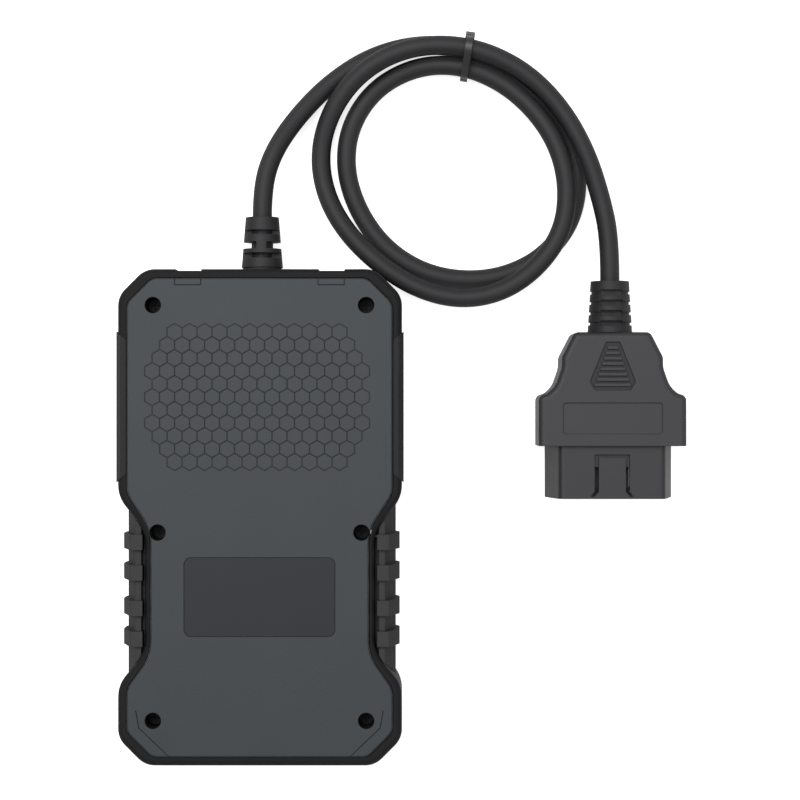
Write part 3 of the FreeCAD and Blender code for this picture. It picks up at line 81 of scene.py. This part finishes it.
def material(name, colour, roughness, metallic=0.0, specular=0.5, grain=None, mottle=0.0, edge=0.0,
             coat=0.0, sides=1.0):
    """Principled material with fine grain, slow colour variation and softened edges.

    grain is (grains per metre, height in metres); mottle is the share by which the colour varies;
    edge is the radius of the softened edges in metres; sides is the share by which the colour and the
    shine of upright faces are scaled against the faces that look up or down: painted shade below 1, a painted
    highlight above 1.
    """
    made = bpy.data.materials.new(name)
    made.use_nodes = True
    tree = made.node_tree
    shader = tree.nodes["Principled BSDF"]
    shader.inputs["Base Color"].default_value = (*colour, 1)
    shader.inputs["Roughness"].default_value = roughness
    shader.inputs["Metallic"].default_value = metallic
    shader.inputs["Specular IOR Level"].default_value = specular
    shader.inputs["Coat Weight"].default_value = coat
    place = tree.nodes.new("ShaderNodeTexCoord")
    normal = None
    if edge:
        bevel = tree.nodes.new("ShaderNodeBevel")
        bevel.samples = 4
        bevel.inputs["Radius"].default_value = edge
        normal = bevel.outputs["Normal"]
    if grain:
        noise = tree.nodes.new("ShaderNodeTexNoise")
        noise.inputs["Scale"].default_value = grain[0]
        noise.inputs["Detail"].default_value = 3
        tree.links.new(place.outputs["Object"], noise.inputs["Vector"])
        bump = tree.nodes.new("ShaderNodeBump")
        bump.inputs["Strength"].default_value = 1.0
        bump.inputs["Distance"].default_value = grain[1]
        tree.links.new(noise.outputs["Fac"], bump.inputs["Height"])
        if normal:
            tree.links.new(normal, bump.inputs["Normal"])
        normal = bump.outputs["Normal"]
    if normal:
        tree.links.new(normal, shader.inputs["Normal"])
    if mottle:
        cloud = tree.nodes.new("ShaderNodeTexNoise")
        cloud.inputs["Scale"].default_value = CLOUD_SCALE
        cloud.inputs["Detail"].default_value = 2
        tree.links.new(place.outputs["Object"], cloud.inputs["Vector"])
        ramp = tree.nodes.new("ShaderNodeMapRange")
        ramp.inputs["To Min"].default_value = 1 - mottle
        ramp.inputs["To Max"].default_value = 1 + mottle
        tree.links.new(cloud.outputs["Fac"], ramp.inputs["Value"])
        mix = tree.nodes.new("ShaderNodeVectorMath")
        mix.operation = "SCALE"
        mix.inputs[0].default_value = colour
        tree.links.new(ramp.outputs["Result"], mix.inputs["Scale"])
        tree.links.new(mix.outputs["Vector"], shader.inputs["Base Color"])
    # Painted shade or highlight on upright faces, set by their tilt.
    if sides != 1:
        paint_tilt_light_and_shade(made, sides)
    return made


def paint_tilt_light_and_shade(made, share):
    """Paints shade or a highlight: scales the colour and the shine of faces the more they turn from level to
    upright.
    """
    tree = made.node_tree
    shader = tree.nodes["Principled BSDF"]
    geometry = tree.nodes.new("ShaderNodeNewGeometry")
    split = tree.nodes.new("ShaderNodeSeparateXYZ")
    tree.links.new(geometry.outputs["True Normal"], split.inputs["Vector"])
    level = tree.nodes.new("ShaderNodeMath")
    level.operation = "ABSOLUTE"
    tree.links.new(split.outputs["Z"], level.inputs[0])
    ramp = tree.nodes.new("ShaderNodeMapRange")
    ramp.inputs["From Min"].default_value = UPRIGHT_BELOW
    ramp.inputs["From Max"].default_value = LEVEL_ABOVE
    ramp.inputs["To Min"].default_value = share
    tree.links.new(level.outputs["Value"], ramp.inputs["Value"])
    scale_colour(made, ramp.outputs["Result"])
    shine = tree.nodes.new("ShaderNodeMath")
    shine.operation = "MULTIPLY"
    shine.inputs[1].default_value = shader.inputs["Specular IOR Level"].default_value
    tree.links.new(ramp.outputs["Result"], shine.inputs[0])
    tree.links.new(shine.outputs["Value"], shader.inputs["Specular IOR Level"])


def scale_colour(made, factor):
    """Multiplies a material's base colour by a shader value."""
    tree = made.node_tree
    shader = tree.nodes["Principled BSDF"]
    scale = tree.nodes.new("ShaderNodeVectorMath")
    scale.operation = "SCALE"
    base = shader.inputs["Base Color"]
    if base.is_linked:
        tree.links.new(base.links[0].from_socket, scale.inputs[0])
    else:
        scale.inputs[0].default_value = base.default_value[:3]
    tree.links.new(factor, scale.inputs["Scale"])
    tree.links.new(scale.outputs["Vector"], base)


def paint_shade_below(made, level, share):
    """Paints shade on what lies below a level, such as the floors of grooves in a face that looks up."""
    tree = made.node_tree
    place = tree.nodes.new("ShaderNodeTexCoord")
    split = tree.nodes.new("ShaderNodeSeparateXYZ")
    tree.links.new(place.outputs["Object"], split.inputs["Vector"])
    step = tree.nodes.new("ShaderNodeMath")
    step.operation = "LESS_THAN"
    step.inputs[1].default_value = level
    tree.links.new(split.outputs["Z"], step.inputs[0])
    dark = tree.nodes.new("ShaderNodeMapRange")
    dark.inputs["To Min"].default_value = 1.0
    dark.inputs["To Max"].default_value = share
    tree.links.new(step.outputs["Value"], dark.inputs["Value"])
    scale_colour(made, dark.outputs["Result"])


def paint_shade_inside(made, low, high, share):
    """Paints shade on what lies inside a box, such as a recess."""
    tree = made.node_tree
    place = tree.nodes.new("ShaderNodeTexCoord")
    split = tree.nodes.new("ShaderNodeSeparateXYZ")
    tree.links.new(place.outputs["Object"], split.inputs["Vector"])
    inside = None
    for axis, start, end in zip("XYZ", low, high):
        within = tree.nodes.new("ShaderNodeMath")
        within.operation = "COMPARE"
        within.inputs[1].default_value = (start + end) / 2
        within.inputs[2].default_value = (end - start) / 2
        tree.links.new(split.outputs[axis], within.inputs[0])
        if inside is None:
            inside = within.outputs["Value"]
            continue
        both = tree.nodes.new("ShaderNodeMath")
        both.operation = "MULTIPLY"
        tree.links.new(inside, both.inputs[0])
        tree.links.new(within.outputs["Value"], both.inputs[1])
        inside = both.outputs["Value"]
    dark = tree.nodes.new("ShaderNodeMapRange")
    dark.inputs["To Max"].default_value = share
    dark.inputs["To Min"].default_value = 1.0
    tree.links.new(inside, dark.inputs["Value"])
    scale_colour(made, dark.outputs["Result"])


def dress(made, *names):
    """Gives CAD nodes a material in place of their own."""
    for name in names:
        data = nodes[name].data
        data.materials.clear()
        data.materials.append(made)


GRAIN = (2600, 0.00004)
# sides=1.9 paints a highlight on the cover's tilted and upright faces, such as its rounded edge.
case_plastic = material("case plastic", (0.034, 0.040, 0.045), 0.55, specular=0.35, grain=GRAIN, mottle=0.08,
                        edge=0.0002, sides=1.9)
# Painted shade in the grooves of the back and, darker, in the screw wells and other deep recesses.
paint_shade_below(case_plastic, BACK_FACE - GROOVE_DEPTH, 0.3)
paint_shade_below(case_plastic, BACK_FACE - RECESS_DEPTH, 0.15)
front_plastic = material("front plastic", (0.034, 0.040, 0.045), 0.55, specular=0.35, grain=GRAIN,
                         mottle=0.05, edge=0.0002)
# sides=0.5 paints shade on the bumper's upright faces.
bumper_rubber = material("bumper rubber", (0.009, 0.009, 0.010), 0.7, specular=0.2, grain=(1800, 0.00003),
                         mottle=0.08, edge=0.0003, sides=0.5)
trim_plastic = material("trim plastic", (0.011, 0.011, 0.012), 0.6, specular=0.25, grain=GRAIN, edge=0.0003)
# sides=0.4 paints shade on the grips' upright and sloped faces.
grip_rubber = material("grip rubber", (0.042, 0.042, 0.042), 0.75, specular=0.2, grain=(1800, 0.00003),
                       mottle=0.08, edge=0.0003, sides=0.4)
label_film = material("label film", (0.013, 0.016, 0.020), 0.5, specular=0.3, mottle=0.05, edge=0.0001)
# sides=0.4 paints shade on the cable's flanks.
cable_jacket = material("cable jacket", (0.024, 0.024, 0.026), 0.6, specular=0.3, grain=(1200, 0.00003),
                        mottle=0.06, sides=0.4)
# sides=0.4 paints shade on the boots' upright faces.
boot_rubber = material("boot rubber", (0.022, 0.022, 0.024), 0.6, specular=0.3, grain=(1800, 0.00003),
                       mottle=0.08, edge=0.0003, sides=0.4)
# sides=0.3 paints shade on the plug's upright faces.
plug_plastic = material("plug plastic", (0.036, 0.036, 0.040), 0.55, specular=0.35, grain=GRAIN, mottle=0.06,
                        edge=0.0004, sides=0.3)
plug_low, plug_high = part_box("plug_housing")
thumb_x = (plug_low[0] + plug_high[0]) / 2
# Painted shade in the plug's thumb recess.
paint_shade_inside(plug_plastic, (thumb_x - THUMB_HALF, plug_low[1] + 16 * MM, plug_high[2] - 0.7 * MM),
              (thumb_x + THUMB_HALF, plug_high[1] - 2 * MM, plug_high[2] - 0.1 * MM), 0.45)
# sides=0.3 paints shade on the connector shell's upright faces.
shell_plastic = material("shell plastic", (0.028, 0.028, 0.031), 0.5, specular=0.35, grain=GRAIN, mottle=0.05,
                         edge=0.0003, sides=0.3)
dark_plastic = material("dark plastic", (0.015, 0.015, 0.016), 0.45, edge=0.0002)
key_rubber = material("key rubber", (0.10, 0.105, 0.11), 0.6, specular=0.35, grain=(1800, 0.00002),
                      mottle=0.05, edge=0.0003)
confirm_rubber = material("confirm key rubber", (0.02, 0.16, 0.06), 0.55, specular=0.35,
                          grain=(1800, 0.00002), mottle=0.05, edge=0.0003)
symbol_paint = material("symbol paint", (0.75, 0.76, 0.76), 0.5, mottle=0.03)
# Black screw heads, darkened further and given little shine as painted shade for their deep wells.
black_steel_and_well_shade = material("black steel and well shade", (0.004, 0.004, 0.004), 0.5, specular=0.12, grain=(900, 0.00002),
                       mottle=0.08, edge=0.0001)
plain_steel = material("plain steel", (0.42, 0.42, 0.44), 0.32, metallic=1.0, grain=(900, 0.00002),
                       mottle=0.08, edge=0.0001)
lens_glass = material("lens glass", (0.006, 0.007, 0.009), 0.08, specular=0.5, mottle=0.02, edge=0.0003,
                      coat=0.4)
board_resin = material("board resin", (0.012, 0.10, 0.045), 0.4, mottle=0.1)
brass = material("brass", (0.60, 0.45, 0.18), 0.3, metallic=1.0, mottle=0.06, edge=0.0001)
pin_tin = material("pin tin", (0.16, 0.16, 0.15), 0.4, metallic=1.0, mottle=0.06, edge=0.0001)
light_resin = material("light pipe resin", (0.55, 0.62, 0.58), 0.25, mottle=0.03)
pale_plastic = material("pale plastic", (0.62, 0.60, 0.54), 0.5, mottle=0.05)
core_jacket = material("core jacket", (0.35, 0.03, 0.02), 0.45, mottle=0.05)
tie_nylon = material("tie nylon", (0.030, 0.030, 0.031), 0.4, specular=0.5, mottle=0.08, edge=0.0003)

dress(case_plastic, "rear_cover")
dress(front_plastic, "front_cover")
dress(bumper_rubber, "bumper_frame")
dress(trim_plastic, "left_side_trim", "right_side_trim")
dress(grip_rubber, "left_grip", "right_grip")
dress(label_film, "rating_label")
dress(black_steel_and_well_shade, "case_screws")
dress(plain_steel, "board_screws", "dome_switches")
dress(lens_glass, "screen_lens")
dress(dark_plastic, "display_gasket", "display_module", "processor_chips", "interface_chips", "buzzer",
      "board_link", "pin_carrier")
dress(board_resin, "main_board", "interface_board")
dress(brass, "board_spacers")
dress(pin_tin, "contact_pins")
dress(pale_plastic, "key_guide", "board_connector", "status_leds")
dress(light_resin, "status_light_pipes")
dress(core_jacket, "tool_cable_cores")
dress(boot_rubber, "device_strain_relief", "plug_strain_relief")
dress(tie_nylon, "cable_tie")
dress(plug_plastic, "plug_housing", "plug_inner_mould")
dress(shell_plastic, "connector_shell")
for key in KEYS:
    dress(confirm_rubber if key == "key_ok" else key_rubber, key)


def make_cable():
    """Smooth jacket along the route, in place of the plain tube."""
    data = bpy.data.curves.new("cable jacket", "CURVE")
    data.dimensions = "3D"
    spline = data.splines.new("NURBS")
    spline.points.add(len(CABLE_ROUTE) - 1)
    for point, place in zip(spline.points, CABLE_ROUTE):
        point.co = (*(MM * value for value in place), 1)
    spline.order_u = 3
    spline.use_endpoint_u = True
    spline.resolution_u = 12
    data.bevel_depth = CABLE_DIAMETER / 2
    data.bevel_resolution = 8
    data.use_fill_caps = True
    data.materials.append(cable_jacket)
    cable = bpy.data.objects.new("cable_jacket", data)
    bpy.context.scene.collection.objects.link(cable)
    return cable


cable = make_cable()
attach(cable, "tool")
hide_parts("cable")


def flat_symbol(name, key, outlines):
    """Thin painted shape on a key's face; outlines are closed loops about the key's middle, in mm.

    The face looks down, so a shape's left is the tool's +X.
    """
    (low_x, low_y, face), (high_x, high_y, _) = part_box(key)
    middle = Vector(((low_x + high_x) / 2, (low_y + high_y) / 2))
    top = face - PAINT_OUT
    corners, sides = [], []
    for outline in outlines:
        first = len(corners)
        count = len(outline)
        for level in (top, face + PAINT_IN):
            corners += [(middle.x - x * MM, middle.y + y * MM, level) for x, y in outline]
        sides.append([first + i for i in range(count)])
        sides.append([first + count + i for i in reversed(range(count))])
        for i in range(count):
            after = (i + 1) % count
            sides.append([first + after, first + i, first + count + i, first + count + after])
    data = bpy.data.meshes.new(name)
    data.from_pydata(corners, [], sides)
    data.materials.append(symbol_paint)
    symbol = bpy.data.objects.new(name, data)
    bpy.context.scene.collection.objects.link(symbol)
    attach(symbol, key)


def turned(outline, degrees):
    angle = math.radians(degrees)
    return [(x * math.cos(angle) - y * math.sin(angle), x * math.sin(angle) + y * math.cos(angle))
            for x, y in outline]


ARROW = [(-2.4, -1.2), (2.4, -1.2), (0, 1.8)]
BAR = [(-2.6, -0.35), (2.6, -0.35), (2.6, 0.35), (-2.6, 0.35)]
TICK = [(-2.6, 0.1), (-1.9, 0.8), (-0.7, -0.4), (1.9, 2.2), (2.6, 1.5), (-0.7, -1.8)]
RETURN = [(-2.8, 0), (-0.6, 1.9), (-0.6, 0.55), (2.8, 0.55), (2.8, -0.55), (-0.6, -0.55), (-0.6, -1.9)]
for key, angle in (("key_up", 0), ("key_down", 180), ("key_left", 90), ("key_right", -90)):
    flat_symbol(key + "_arrow", key, [turned(ARROW, angle)])
flat_symbol("key_ok_tick", "key_ok", [TICK])
flat_symbol("key_back_arrow", "key_back", [RETURN])
flat_symbol("key_menu_bars", "key_menu", [[(x, y + shift) for x, y in BAR] for shift in (-1.5, 0, 1.5)])


def area_light(name, place, target, size, power):
    data = bpy.data.lights.new(name, "AREA")
    data.shape = "DISK"
    data.size = size
    data.energy = power
    lamp = bpy.data.objects.new(name, data)
    lamp.location = place
    lamp.rotation_euler = (Vector(target) - Vector(place)).to_track_quat("-Z", "Y").to_euler()
    bpy.context.scene.collection.objects.link(lamp)


def make_studio():
    floor_data = bpy.data.meshes.new("floor")
    half = FLOOR_HALF
    corners = [(-half, -half, 0), (half, -half, 0), (half, half, 0), (-half, half, 0)]
    floor_data.from_pydata(corners, [], [(0, 1, 2, 3)])
    paint = material("floor paint", (0.86, 0.86, 0.86), 0.9, specular=0.1)
    shader = paint.node_tree.nodes["Principled BSDF"]
    shader.inputs["Emission Color"].default_value = (1, 1, 1, 1)
    shader.inputs["Emission Strength"].default_value = 0.75
    floor_data.materials.append(paint)
    floor = bpy.data.objects.new("floor", floor_data)
    floor.location.z = -FLOOR_DROP
    bpy.context.scene.collection.objects.link(floor)
    world = bpy.data.worlds.new("studio")
    world.use_nodes = True
    background = world.node_tree.nodes["Background"]
    background.inputs["Color"].default_value = (1, 1, 1, 1)
    background.inputs["Strength"].default_value = 0.2
    bpy.context.scene.world = world
    area_light("key light", (-0.25, 0.45, 1.25), STUDIO_MIDDLE, 1.1, 17)
    area_light("fill light", (0.7, -0.2, 1.0), STUDIO_MIDDLE, 0.8, 3)


def make_camera():
    data = bpy.data.cameras.new("camera")
    data.sensor_width = 36
    data.lens = CAMERA_LENS
    data.clip_start = 0.01
    data.clip_end = 20
    camera = bpy.data.objects.new("camera", data)
    camera.location = CAMERA_PLACE
    bpy.context.scene.collection.objects.link(camera)
    bpy.context.scene.camera = camera


make_studio()
make_camera()
bpy.context.scene.view_settings.view_transform = "Standard"
